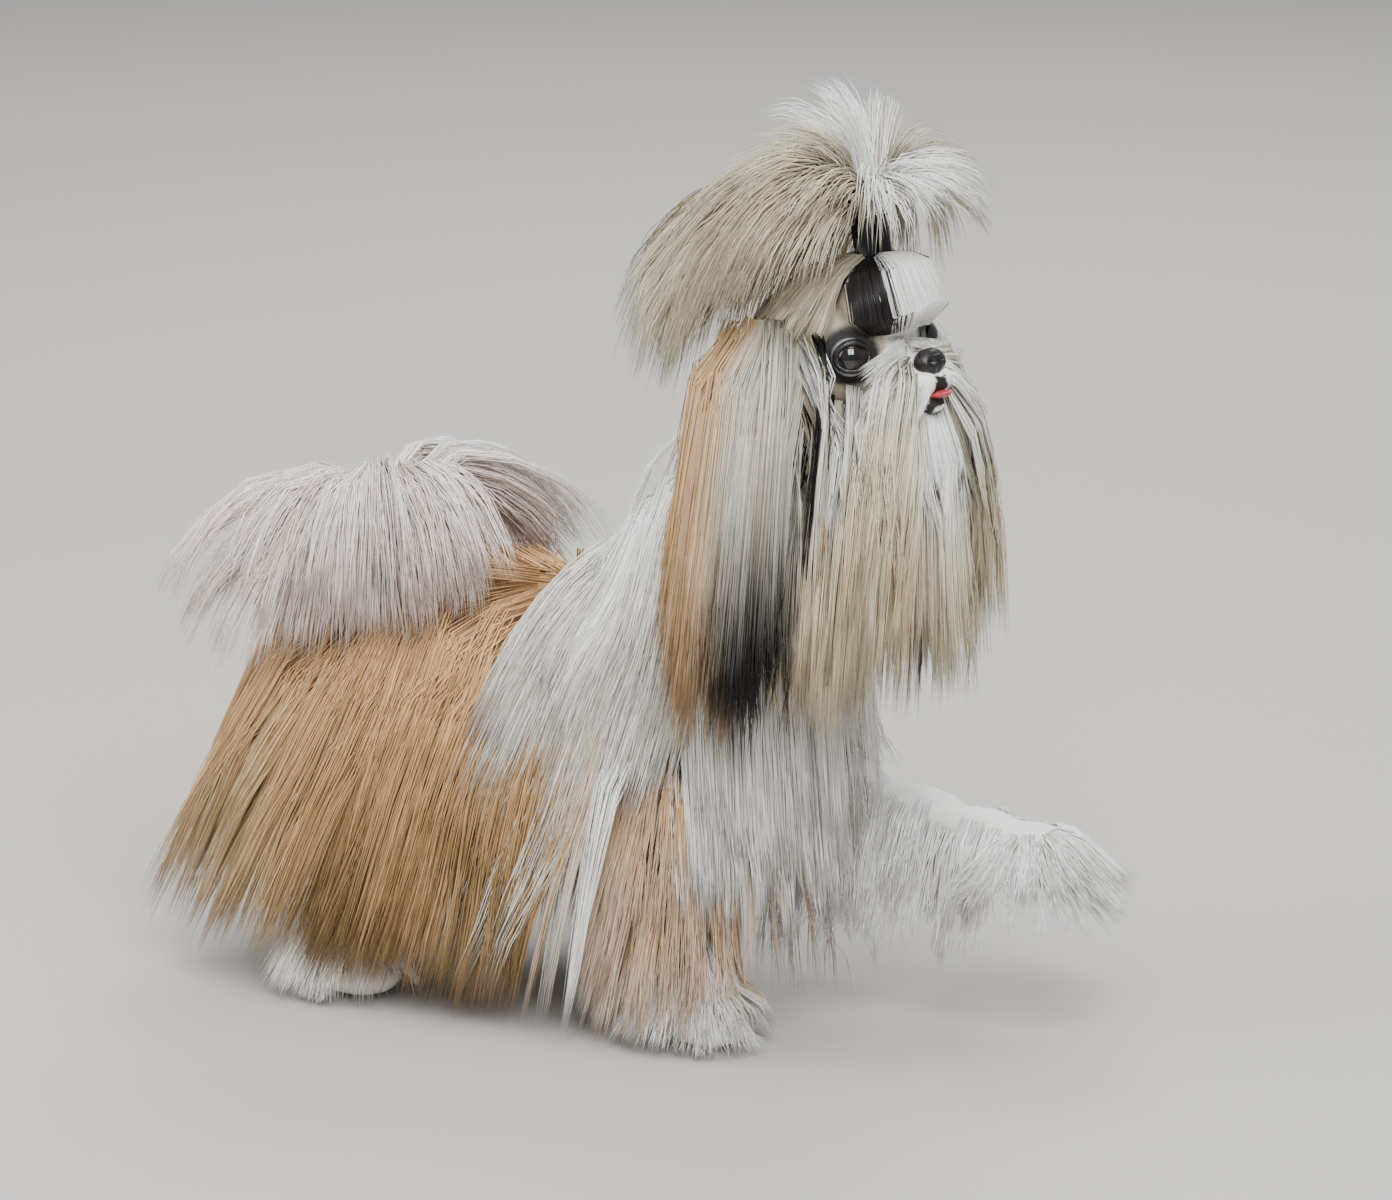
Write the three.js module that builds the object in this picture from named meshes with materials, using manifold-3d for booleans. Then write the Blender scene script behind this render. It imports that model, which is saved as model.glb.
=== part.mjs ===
// Shih tzu in full show coat, trotting with the left forepaw lifted, life size.
// Millimetres, +X forward, +Y to the dog's left, +Z up, soles on z = 0.
// The finished group is moved so that its origin is the middle of its footprint.
import * as THREE from 'three';
import { mergeVertices } from 'three/addons/utils/BufferGeometryUtils.js';
import Module from 'manifold-3d';

const wasm = await Module();
wasm.setup();

// Driving dimensions of the animal
const HALF_TRACK = 52;
const COAT_HALF_WIDTH = 92;
const NOSE = new THREE.Vector3(134, -30, 394);
const HEAD_YAW = THREE.MathUtils.degToRad(-13);
const HEAD_PITCH = THREE.MathUtils.degToRad(12);
const EYE_APART = 62;
const EYE_RADIUS = 10.5;
const LID_THICKNESS = 2.2;
const LID_SET_BACK = 4;
const WRAP_RADIUS = 6.2;
const WRAP_LENGTH = 24;

// Clear space that touching pieces keep
const GAP = 0.3;

// Feet, as the middle of each sole; the left forepaw is off the floor
const FEET = {
  leg_front_right: new THREE.Vector3(0, -HALF_TRACK, 0),
  leg_rear_right: new THREE.Vector3(-212, -HALF_TRACK, 0),
  leg_rear_left: new THREE.Vector3(-252, HALF_TRACK, 0),
};
const LIFTED_PAW = new THREE.Vector3(166, 50, 104);

// Head frame: forward, left and up from the tip of the nose
const forward = new THREE.Vector3(
  Math.cos(HEAD_PITCH) * Math.cos(HEAD_YAW),
  Math.cos(HEAD_PITCH) * Math.sin(HEAD_YAW),
  Math.sin(HEAD_PITCH));
const leftward = new THREE.Vector3(-Math.sin(HEAD_YAW), Math.cos(HEAD_YAW), 0);
const upward = new THREE.Vector3().crossVectors(forward, leftward);
const headFrame = new THREE.Matrix4().makeBasis(forward, leftward, upward).setPosition(NOSE);
const bodyFrame = new THREE.Matrix4();

function toSolid(geometry) {
  geometry.deleteAttribute('normal');
  geometry.deleteAttribute('uv');
  const merged = mergeVertices(geometry, 1e-4);
  return new wasm.Manifold(new wasm.Mesh({
    numProp: 3,
    vertProperties: merged.attributes.position.array,
    triVerts: new Uint32Array(merged.index.array),
  }));
}

function moved(geometry, move) {
  const position = geometry.attributes.position;
  const point = new THREE.Vector3();
  for (let i = 0; i < position.count; i += 1) {
    point.fromBufferAttribute(position, i);
    move(point);
    position.setXYZ(i, point.x, point.y, point.z);
  }
  return geometry;
}

// An egg-shaped mass of flesh: middle and half sizes in a frame
function mass(frame, middle, half, around = 14, along = 9) {
  return (grow) => {
    const geometry = new THREE.SphereGeometry(1, around, along);
    geometry.rotateX(Math.PI / 2);
    geometry.scale(half[0] + grow, half[1] + grow, half[2] + grow);
    geometry.translate(...middle);
    geometry.applyMatrix4(frame);
    return toSolid(geometry);
  };
}

// A limb or coat form through rings: [x, y, z, half size along X, half size along Y]
function stack(frame, rings, around = 14) {
  return (grow) => {
    const geometry = new THREE.CylinderGeometry(1, 1, 1, around, rings.length - 1);
    moved(geometry, (point) => {
      const ring = rings[Math.round((0.5 - point.y) * (rings.length - 1))];
      const [x, y, z, halfX, halfY] = ring;
      const end = ring === rings[0] ? grow : ring === rings.at(-1) ? -grow : 0;
      point.set(x - point.z * (halfX + grow), y - point.x * (halfY + grow), z + end);
    });
    geometry.applyMatrix4(frame);
    return toSolid(geometry);
  };
}

function union(pieces, grow = 0) {
  return wasm.Manifold.union(pieces.map((piece) => piece(grow)));
}

function largest(body) {
  return body.decompose().sort((a, b) => b.volume() - a.volume())[0];
}

function floorCut(body) {
  const slab = new THREE.BoxGeometry(2000, 2000, 200);
  slab.translate(0, 0, -100);
  return body.subtract(toSolid(slab));
}

const pieces = {};

pieces.eye_right = [mass(headFrame, [-34, -EYE_APART / 2, 10], [EYE_RADIUS, EYE_RADIUS, EYE_RADIUS])];
pieces.eye_left = [mass(headFrame, [-34, EYE_APART / 2, 10], [EYE_RADIUS, EYE_RADIUS, EYE_RADIUS])];
// Nostrils, mouth line and ear cups, as the room cut for them
const cuts = {};
const LEFT_AND_RIGHT = [-1, 1];
cuts.nose = LEFT_AND_RIGHT.map((side) => mass(headFrame, [0, side * 4.6, 0.5], [3, 1.8, 2.2], 8, 6));
cuts.head = [mass(headFrame, [-8, 0, -17], [13, 9, 2.8], 16, 8)];
cuts.ear_right = [mass(headFrame, [-66, -49.5, 2], [11, 4, 18], 10, 6)];
cuts.ear_left = [mass(headFrame, [-66, 49.5, 2], [11, 4, 18], 10, 6)];

// Lids hood the eyeball, set back so that its front stays free
function lids(side) {
  const size = EYE_RADIUS + LID_THICKNESS;
  return mass(headFrame, [-34 - LID_SET_BACK, side * (EYE_APART / 2 - 0.6), 10.4], [size, size, size]);
}

const upperLips = LEFT_AND_RIGHT.map((side) => mass(headFrame, [-7, side * 6, -11], [9, 8, 6]));
const lowerLip = mass(headFrame, [-9, 0, -23], [10, 10, 5]);

pieces.nose = [mass(headFrame, [-7, 0, 0], [8, 11, 8])];
pieces.tongue = [mass(headFrame, [-10, 0, -19], [11, 7, 2.4])];
const WRAP_AT = [-31, 0, 58];
for (const [name, side] of [['topknot_wrap_right', -1], ['topknot_wrap_left', 1]]) {
  pieces[name] = [stack(headFrame, [
    [WRAP_AT[0], side * (WRAP_RADIUS + 0.3), WRAP_AT[2] + WRAP_LENGTH, WRAP_RADIUS, WRAP_RADIUS],
    [WRAP_AT[0], side * (WRAP_RADIUS + 0.3), WRAP_AT[2], WRAP_RADIUS, WRAP_RADIUS],
  ])];
}
pieces.topknot = [
  stack(headFrame, [
    [-31, 0, 108, 34, 44],
    [-31, 0, 95, 20, 26],
    [-31, 0, WRAP_AT[2] + WRAP_LENGTH + GAP, 9, 14],
  ]),
  mass(headFrame, [-70, 0, 110], [64, 58, 41]),
  mass(headFrame, [-130, 0, 82], [58, 46, 34]),
  mass(headFrame, [-170, 0, 45], [28, 34, 42]),
];
pieces.head = [
  mass(headFrame, [-66, 0, 12], [50, 46, 40], 18, 12),
  mass(headFrame, [-26, 0, 36], [30, 34, 24], 16, 10),
  mass(headFrame, [-22, 0, -12], [20, 24, 18], 16, 10),
  lids(-1),
  lids(1),
  ...upperLips,
  lowerLip,
  stack(bodyFrame, [
    [108, -28, 385, 22, 40],
    [112, -28, 340, 38, 62],
    [108, -27, 290, 40, 60],
    [106, -26, 240, 32, 46],
    [106, -26, 202, 12, 18],
  ], 24),
];
for (const [name, side, tip] of [['ear_right', -1, 196], ['ear_left', 1, 215]]) {
  pieces[name] = [stack(bodyFrame, [
    [50, -18 + side * 46, 424, 16, 8],
    [40, -18 + side * 58, 395, 34, 13],
    [30, -16 + side * 66, 340, 46, 16],
    [24, -14 + side * 72, 280, 44, 17],
    [24, -10 + side * 76, 230, 34, 15],
    [28, -8 + side * 78, tip, 14, 8],
  ])];
}
pieces.tail = [
  mass(bodyFrame, [-202, 0, 258], [50, 44, 38]),
  mass(bodyFrame, [-240, -14, 222], [50, 58, 56]),
  mass(bodyFrame, [-240, 14, 222], [50, 58, 56]),
  mass(bodyFrame, [-140, 0, 262], [46, 28, 18]),
];
pieces.neck = [
  mass(bodyFrame, [-20, -2, 235], [62, 66, 60]),
  mass(bodyFrame, [20, -6, 300], [56, 60, 60]),
  mass(bodyFrame, [52, -14, 350], [50, 52, 50]),
  mass(bodyFrame, [60, 0, 215], [68, 60, 72]),
];
for (const [name, foot] of Object.entries(FEET)) {
  pieces[name] = [stack(bodyFrame, [
    [foot.x - 20, foot.y * 0.85, 130, 34, 26],
    [foot.x - 10, foot.y, 70, 42, 34],
    [foot.x, foot.y, 20, 52, 38],
    [foot.x, foot.y, 0, 56, 40],
  ])];
}
pieces.leg_front_left = [
  mass(bodyFrame, [40, 46, 140], [70, 36, 46]),
  mass(bodyFrame, [110, 48, 105], [62, 34, 44]),
  mass(bodyFrame, [LIFTED_PAW.x, LIFTED_PAW.y, LIFTED_PAW.z], [44, 34, 34]),
  mass(bodyFrame, [100, 48, 70], [46, 26, 42]),
];
pieces.torso = [stack(bodyFrame, [
  [-100, 0, 262, 70, 16],
  [-100, 0, 245, 112, 50],
  [-110, 0, 210, 148, 74],
  [-136, 0, 160, 174, 86],
  [-158, 0, 96, 180, COAT_HALF_WIDTH],
  [-156, 0, 40, 160, COAT_HALF_WIDTH],
  [-150, 0, 0, 138, 86],
], 28)];

const FINISH = {
  head: [0xe0dccb, 0.5],
  eye_right: [0x14151a, 0.08],
  eye_left: [0x14151a, 0.08],
  nose: [0x2a2724, 0.35],
  tongue: [0xb8404a, 0.3],
  topknot_wrap_right: [0x15151c, 0.15],
  topknot_wrap_left: [0x15151c, 0.15],
  topknot: [0xb7ad97, 0.5],
  ear_right: [0x9c8357, 0.5],
  ear_left: [0x9c8357, 0.5],
  neck: [0xe6e2da, 0.5],
  tail: [0xe6d6ce, 0.5],
  torso: [0xb08a5a, 0.5],
  leg_front_right: [0xd9cbb0, 0.55],
  leg_front_left: [0xe8e6e2, 0.55],
  leg_rear_right: [0xe8e6e2, 0.55],
  leg_rear_left: [0xe8e6e2, 0.55],
};

// Each node gives way to the ones before it, by the gap
const animal = new THREE.Group();
let taken = null;
for (const [name, parts] of Object.entries(pieces)) {
  let body = floorCut(union(parts));
  if (cuts[name]) {
    body = body.subtract(union(cuts[name]));
  }
  if (taken) {
    body = largest(body.subtract(taken));
  }
  const grown = union(parts, GAP * 1.4);
  taken = taken ? taken.add(grown) : grown;
  const { vertProperties, triVerts } = body.getMesh();
  const geometry = new THREE.BufferGeometry();
  geometry.setAttribute('position', new THREE.BufferAttribute(vertProperties, 3));
  geometry.setIndex(new THREE.BufferAttribute(triVerts, 1));
  geometry.computeVertexNormals();
  const [color, roughness] = FINISH[name];
  const mesh = new THREE.Mesh(geometry, new THREE.MeshStandardMaterial({ color, roughness, metalness: 0 }));
  mesh.name = name;
  animal.add(mesh);
}

const extent = new THREE.Box3().setFromObject(animal);
const footprint = extent.getCenter(new THREE.Vector3());
animal.position.set(-footprint.x, -footprint.y, 0);
animal.updateMatrixWorld(true);

const shihTzu = new THREE.Group();
shihTzu.add(animal);

export default shihTzu;
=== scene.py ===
"""Shih tzu in full show coat, trotting: skin, eyes, nose, tongue, topknot wrap and coat.

Design values are millimetres from the sole of the right forefoot, +X the way the
dog faces, +Y to its left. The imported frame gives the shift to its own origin.
"""
import math

import bmesh
import bpy
import numpy as np
from mathutils import Matrix, Vector


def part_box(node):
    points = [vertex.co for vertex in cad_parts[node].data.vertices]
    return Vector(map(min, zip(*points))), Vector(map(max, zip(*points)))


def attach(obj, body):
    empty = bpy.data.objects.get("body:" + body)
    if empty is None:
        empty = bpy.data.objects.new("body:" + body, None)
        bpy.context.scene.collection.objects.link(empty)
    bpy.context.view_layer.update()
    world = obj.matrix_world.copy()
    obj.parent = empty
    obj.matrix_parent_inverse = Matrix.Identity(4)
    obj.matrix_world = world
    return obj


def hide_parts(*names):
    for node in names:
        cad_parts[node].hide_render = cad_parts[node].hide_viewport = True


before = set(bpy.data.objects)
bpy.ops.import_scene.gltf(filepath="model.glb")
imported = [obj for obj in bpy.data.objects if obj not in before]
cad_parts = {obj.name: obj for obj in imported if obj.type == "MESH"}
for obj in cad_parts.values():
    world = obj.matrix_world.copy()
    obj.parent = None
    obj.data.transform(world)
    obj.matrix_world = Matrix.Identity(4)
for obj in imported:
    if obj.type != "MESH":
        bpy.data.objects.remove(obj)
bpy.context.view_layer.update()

bl_info = {
    "name": "Shih Tzu In Show Coat",
    "version": (1, 0, 0),
    "blender": (4, 5, 0),
    "location": "3D View > Sidebar > Shih Tzu",
    "description": "Builds a life-size shih tzu with its long coat, topknot and stage",
    "category": "Object",
}

MM = 0.001
BODY = "root"
DRAW = np.random.default_rng(4711)

# Flesh: middle and half sizes of each mass, millimetres
CHEST = ((-28, 0, 172), (82, 60, 70))
BARREL = ((-110, 0, 176), (98, 58, 66))
RUMP = ((-188, 0, 182), (64, 54, 60))
NECK = [((-10, 0, 228), (46, 44, 42)), ((16, -4, 278), (42, 42, 44)), ((44, -10, 330), (38, 38, 44))]
TAIL = [
    ((-236, 0, 222), (14, 13, 18)), ((-240, 0, 250), (11, 11, 16)),
    ((-226, 0, 270), (14, 10, 11)), ((-203, 0, 274), (16, 9, 9)),
]
HALF_TRACK = 52
AXIS_HEIGHT = 178
# Each leg: rings as (x, y, z, half size along X, half size along Y), then its paw
LEGS = {
    "front_right": (
        [(-18, -44, 135, 24, 17), (-10, -48, 85, 19, 15), (-2, -52, 34, 15, 14), (2, -52, 14, 16, 15)],
        ((9, -52, 12), (25, 20, 12))),
    "rear_right": (
        [(-190, -42, 150, 34, 18), (-196, -46, 95, 26, 17), (-220, -50, 44, 14, 12), (-216, -52, 14, 15, 14)],
        ((-207, -52, 12), (26, 20, 12))),
    "rear_left": (
        [(-206, 42, 150, 34, 18), (-226, 46, 95, 26, 17), (-262, 50, 44, 14, 12), (-256, 52, 14, 15, 14)],
        ((-247, 52, 12), (26, 20, 12))),
}
LIFTED_LEG = [
    ((6, 46, 150), (34, 18, 32)), ((44, 48, 126), (34, 17, 20)),
    ((88, 49, 119), (34, 14, 15)), ((128, 50, 112), (28, 13, 13)),
]
LIFTED_PAW = ((158, 50, 104), (28, 21, 16))

# Head, in its own frame: forward, left and up from the tip of the nose
NOSE = Vector((134, -30, 394))
HEAD_YAW = math.radians(-13)
HEAD_PITCH = math.radians(12)
SKULL = ((-66, 0, 12), (48, 45, 38))
MUZZLE = ((-19, 0, -11.5), (17, 23.4, 16))
BUBBLE = ((-26, 0, 36), (27, 33, 21))
EYE_AT = Vector((-34, 31, 10))
EYE_RADIUS = 10.5
WRAP_AT = Vector((-31, 0, 58))
WRAP_RADIUS = 6.2
WRAP_LENGTH = 24
EAR_AT = ((-74, 53, 6), (24, 6.5, 33))

# Places that hair keeps clear of, with the reach of each: eyes, nose and mouth in the
# head's frame, and the pads of the lifted paw in design millimetres
FACE_OPENINGS = (((-30, -33, 10), 13.5), ((-30, 33, 10), 13.5), ((-4, 0, 0.5), 12.0), ((2, 0, -17), 9.5))
HEAD_COAT_HALF_WIDTH = 76
PADS_AT = (156, 30, 89)
PADS_REACH = 13
GUIDE_STEPS = 26
MARCH_STEPS = 40
BAKE_PATCH = 0.003
FLOOR_CLEARANCE = 0.7

HEAD_FORWARD = Vector((
    math.cos(HEAD_PITCH) * math.cos(HEAD_YAW),
    math.cos(HEAD_PITCH) * math.sin(HEAD_YAW),
    math.sin(HEAD_PITCH)))
HEAD_LEFT = Vector((-math.sin(HEAD_YAW), math.cos(HEAD_YAW), 0))
HEAD_UP = HEAD_FORWARD.cross(HEAD_LEFT)
HEAD_TURN = np.array([HEAD_FORWARD, HEAD_LEFT, HEAD_UP])


def frame_shift():
    """The step from design millimetres to the frame, found from the right eye's own node."""
    low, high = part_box("eye_right")
    middle = (Vector(low) + Vector(high)) / 2
    right_eye = Vector((EYE_AT.x, -EYE_AT.y, EYE_AT.z))
    design = NOSE + HEAD_FORWARD * right_eye.x + HEAD_LEFT * right_eye.y + HEAD_UP * right_eye.z
    shift = middle - design * MM
    return np.array((shift.x, shift.y, 0.0))


SHIFT = frame_shift()


def in_head(points):
    """Head-frame millimetres to design millimetres."""
    return np.asarray(points, float) @ HEAD_TURN + np.array(NOSE)


def headwards(directions):
    return np.asarray(directions, float) @ HEAD_TURN


def to_scene(points):
    return np.asarray(points, float) * MM + SHIFT


def vectors(x, y, z):
    """Rows of three from columns, where a single number stands for a whole column."""
    return np.stack(np.broadcast_arrays(x, y, z), axis=-1)


def unit(rows):
    return rows / np.maximum(np.linalg.norm(rows, axis=-1, keepdims=True), 1e-9)


def mix(low, high, share):
    return low + (high - low) * share


def ease(low, high, value):
    share = np.clip((value - low) / (high - low), 0, 1)
    return share * share * (3 - 2 * share)


def linear(hex_colour):
    """An sRGB hex colour as linear light."""
    channels = [int(hex_colour[i:i + 2], 16) / 255 for i in (1, 3, 5)]
    return tuple(c / 12.92 if c <= 0.04045 else ((c + 0.055) / 1.055) ** 2.4 for c in channels)


def colour_property(name, hex_colour, description):
    return bpy.props.FloatVectorProperty(
        name=name, description=description, subtype="COLOR", size=3,
        min=0, max=1, default=linear(hex_colour))


class CoatColours(bpy.types.PropertyGroup):
    white: colour_property("White", "#F5F3EF", "Chest, blaze, feet and cape")
    cream: colour_property("Cream", "#E3D9BC", "Beard and moustache")
    gold: colour_property("Gold", "#CBA474", "Saddle, thighs and ears")
    # Bright gold is a painted highlight along the ridge of the back
    bright_gold: colour_property("Bright gold", "#E3B887", "Ridge of the back")
    olive: colour_property("Olive brown", "#8E7649", "Shaded lower part of the saddle")
    grey: colour_property("Grey brown", "#9A8F7C", "Temples and topknot")
    black: colour_property("Black", "#1D1A19", "Ear tips and face stripes")
    blush: colour_property("Blush white", "#F0E2DA", "Tail plume")


class BareColours(bpy.types.PropertyGroup):
    skin_black: colour_property("Black skin", "#1B1817", "Nose leather, lids, lips and pads")
    tongue: colour_property("Tongue", "#C2454F", "Tip of the tongue")
    iris: colour_property("Iris", "#1E1511", "Dark brown iris")
    sclera: colour_property("White of the eye", "#9A9BA3", "Crescent at the inner corner")
    wrap: colour_property("Wrap", "#101016", "Black topknot wrap")
    rim: colour_property("Wrap rim", "#C9B58A", "Pale metal rims of the wrap")


class CoatSizes(bpy.types.PropertyGroup):
    strand_width: bpy.props.FloatProperty(
        name="Strand width", description="Width of a strand of body coat at its middle",
        default=1.0 * MM, min=0.1 * MM, unit="LENGTH")
    face_width: bpy.props.FloatProperty(
        name="Face strand width", description="Width of a strand on the face and feet",
        default=0.7 * MM, min=0.1 * MM, unit="LENGTH")
    fullness: bpy.props.FloatProperty(
        name="Fullness", description="Share of the full number of strands",
        default=0.9, min=0.1, max=1.2, subtype="FACTOR")


def colours():
    group = bpy.context.scene.shih_tzu_colours
    return {name: np.array(getattr(group, name)) for name in CoatColours.__annotations__}


# Skin as a field of distance in millimetres
def flesh_masses():
    whole = [CHEST, BARREL, RUMP, *NECK, *TAIL, *LIFTED_LEG, LIFTED_PAW]
    for rings, paw in LEGS.values():
        whole.append(paw)
        whole.extend(((x, y, z), (a, b, min(30, z - 2))) for x, y, z, a, b in rings)
    return whole


def head_masses():
    (x, y, z), half = EAR_AT
    return [SKULL, MUZZLE, BUBBLE, ((x, y, z), half), ((x, -y, z), half)]


BODY_MIDDLES = np.array([m for m, _ in flesh_masses()], float)
BODY_HALVES = np.array([h for _, h in flesh_masses()], float)
HEAD_MIDDLES = np.array([m for m, _ in head_masses()], float)
HEAD_HALVES = np.array([h for _, h in head_masses()], float)


def egg_distance(points, middles, halves):
    local = (points[:, None, :] - middles[None]) / halves[None]
    scaled = np.linalg.norm(local, axis=2)
    steep = np.linalg.norm(local / halves[None], axis=2)
    return (scaled * (scaled - 1) / np.maximum(steep, 1e-6)).min(axis=1)


def skin_distance(points):
    body = egg_distance(points, BODY_MIDDLES, BODY_HALVES)
    in_head_frame = (points - np.array(NOSE)) @ HEAD_TURN.T
    return np.minimum(body, egg_distance(in_head_frame, HEAD_MIDDLES, HEAD_HALVES))


def skin_normal(points):
    reach = 2.0
    slopes = []
    for axis in range(3):
        step = np.zeros(3)
        step[axis] = reach
        slopes.append(skin_distance(points + step) - skin_distance(points - step))
    return unit(np.stack(slopes, axis=1))


def surface(start, direction):
    """Where rays from inside the flesh meet the skin."""
    step = unit(np.asarray(direction, float))
    points = np.array(start, float) + step * 2
    for _ in range(MARCH_STEPS):
        distance = skin_distance(points)
        points += step * np.maximum(-distance * 0.7, 0.0)[:, None]
    return points


class Guides:
    """Combed ways of many locks at once: points, normals and side vectors."""

    def __init__(self, roots, lie, lift, length, stop=3.0, start=None, stiffness=0.45, push=True):
        fine = GUIDE_STEPS
        count = len(roots)
        step = np.broadcast_to(length, (count,)) / fine
        lift = np.broadcast_to(lift, (count,))
        stop = np.broadcast_to(stop, (count,))
        point = np.array(roots, float)
        normal = skin_normal(point)
        heading = unit(np.array(start, float)) if start is not None else normal.copy()
        points, normals = [point.copy()], [normal.copy()]
        ended = np.full(count, float(fine))
        for i in range(fine):
            share = (i + 1) / fine
            heading = unit(heading * (1 - stiffness) + lie(point, share) * stiffness)
            point = point + heading * step[:, None]
            if push:
                travelled = step * (i + 1)
                wanted = lift * np.minimum(1, travelled / 25)
                distance = skin_distance(point)
                normal = skin_normal(point)
                short = np.maximum(wanted - distance, 0)
                point = point + normal * short[:, None]
            under = (point[:, 2] < stop) & (ended == fine)
            ended[under] = i + 0.5
            point[:, 2] = np.maximum(point[:, 2], 0.8)
            points.append(point.copy())
            normals.append(normal.copy())
        self.points = np.stack(points, axis=1)
        self.normals = np.stack(normals, axis=1)
        self.ended = ended
        self.count = count

    def sample(self, index, shares, reach):
        """Points, side and out vectors of chosen guides at shares of their length."""
        spot = shares[None, :] * (self.ended[index] * reach)[:, None]
        low = np.clip(np.floor(spot).astype(int), 0, self.points.shape[1] - 2)
        part = np.clip(spot - low, 0, 1)[..., None]
        rows = index[:, None]
        points = self.points[rows, low] * (1 - part) + self.points[rows, low + 1] * part
        out = unit(self.normals[rows, low] * (1 - part) + self.normals[rows, low + 1] * part)
        along = unit(self.points[rows, low + 1] - self.points[rows, low])
        side = np.cross(along, out)
        weak = np.linalg.norm(side, axis=2, keepdims=True) < 0.15
        side = unit(np.where(weak, np.cross(along, np.array((0.3, 0.2, 1.0))), side))
        return points, side, np.cross(side, along)


def strands(guides, children, lock_width, depth, width, tints, segments=5,
            closing=0.3, stray=0.3, wave=0.6, shorter=0.25):
    """Strand vertices and colours: each guide gives a lock of many tapered strands."""
    index = np.repeat(np.arange(guides.count), children)
    count = len(index)
    shares = np.linspace(0, 1, segments + 1) ** 0.92
    reach = 1 - shorter * DRAW.random(count) ** 2
    points, side, out = guides.sample(index, shares, reach)
    across = (DRAW.random(count) * 2 - 1) * np.broadcast_to(lock_width, (guides.count,))[index]
    above = DRAW.random(count) * depth
    gather = 1 - closing * shares[None, :] ** 1.6
    loose = DRAW.normal(0, stray, count)
    phase = DRAW.random(count) * 2 * np.pi
    sway = wave * np.sin(phase[:, None] + shares[None, :] * 5.0) * shares[None, :]
    sideways = across[:, None] * gather + loose[:, None] * 6 * shares[None, :] ** 2 + sway
    outward = above[:, None] * (0.2 + 0.8 * np.minimum(1, shares[None, :] * 4)) \
        + np.abs(DRAW.normal(0, stray * 0.5, count))[:, None] * 3 * shares[None, :] ** 2
    points = points + side * sideways[..., None] + out * outward[..., None]
    points[..., 2] = np.maximum(points[..., 2], FLOOR_CLEARANCE)
    root_tint, tip_tint, turn = tints(index, count)
    bright = np.clip(DRAW.normal(1.0, 0.11, count), 0.7, 1.3)
    blend = ease(0, 1, (shares[None, :] - turn[:, None]) * 2.2 + 0.5)[..., None]
    tint = (root_tint[:, None] * (1 - blend) + tip_tint[:, None] * blend) * bright[:, None, None]
    radius = width / 2 * (0.75 + 0.5 * DRAW.random(count))
    return {"points": points, "side": side, "out": out, "tint": tint, "radius": radius}


def join_strands(groups):
    """Groups of strands with the same number of segments, as one."""
    return {key: np.concatenate([group[key] for group in groups]) for key in groups[0]}


def clear_of_face(group):
    """Leaves out strands that would cross an eye, the nose or the mouth."""
    keep = np.ones(len(group["points"]), bool)
    for middle, reach in FACE_OPENINGS:
        away = np.linalg.norm(group["points"] - in_head([middle])[0], axis=2).min(axis=1)
        keep &= away > reach
    across = (group["points"] - np.array(NOSE)) @ HEAD_TURN.T[:, 1]
    keep &= np.abs(across).max(axis=1) < HEAD_COAT_HALF_WIDTH
    return {key: values[keep] for key, values in group.items()}


def near_foot(group, x, reach=62):
    """Leaves out strands rooted outside the leg they belong to."""
    keep = np.abs(group["points"][:, 0, 0] - x) < reach
    return {key: values[keep] for key, values in group.items()}


def clear_of_pads(group):
    """Leaves out strands that would hide the pads of the lifted paw."""
    away = np.linalg.norm(group["points"] - np.array(PADS_AT), axis=2).min(axis=1)
    return {key: values[away > PADS_REACH] for key, values in group.items()}


def plain_tint(root, tip, turn=0.5):
    """A tint rule where every strand runs from one colour to another."""
    def rule(index, count):
        return np.tile(root, (count, 1)), np.tile(tip, (count, 1)), np.full(count, turn)
    return rule


def chosen_tint(roots, tips, turns):
    """A tint rule from colours worked out for each guide."""
    def rule(index, count):
        return roots[index], tips[index], turns[index]
    return rule


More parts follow.
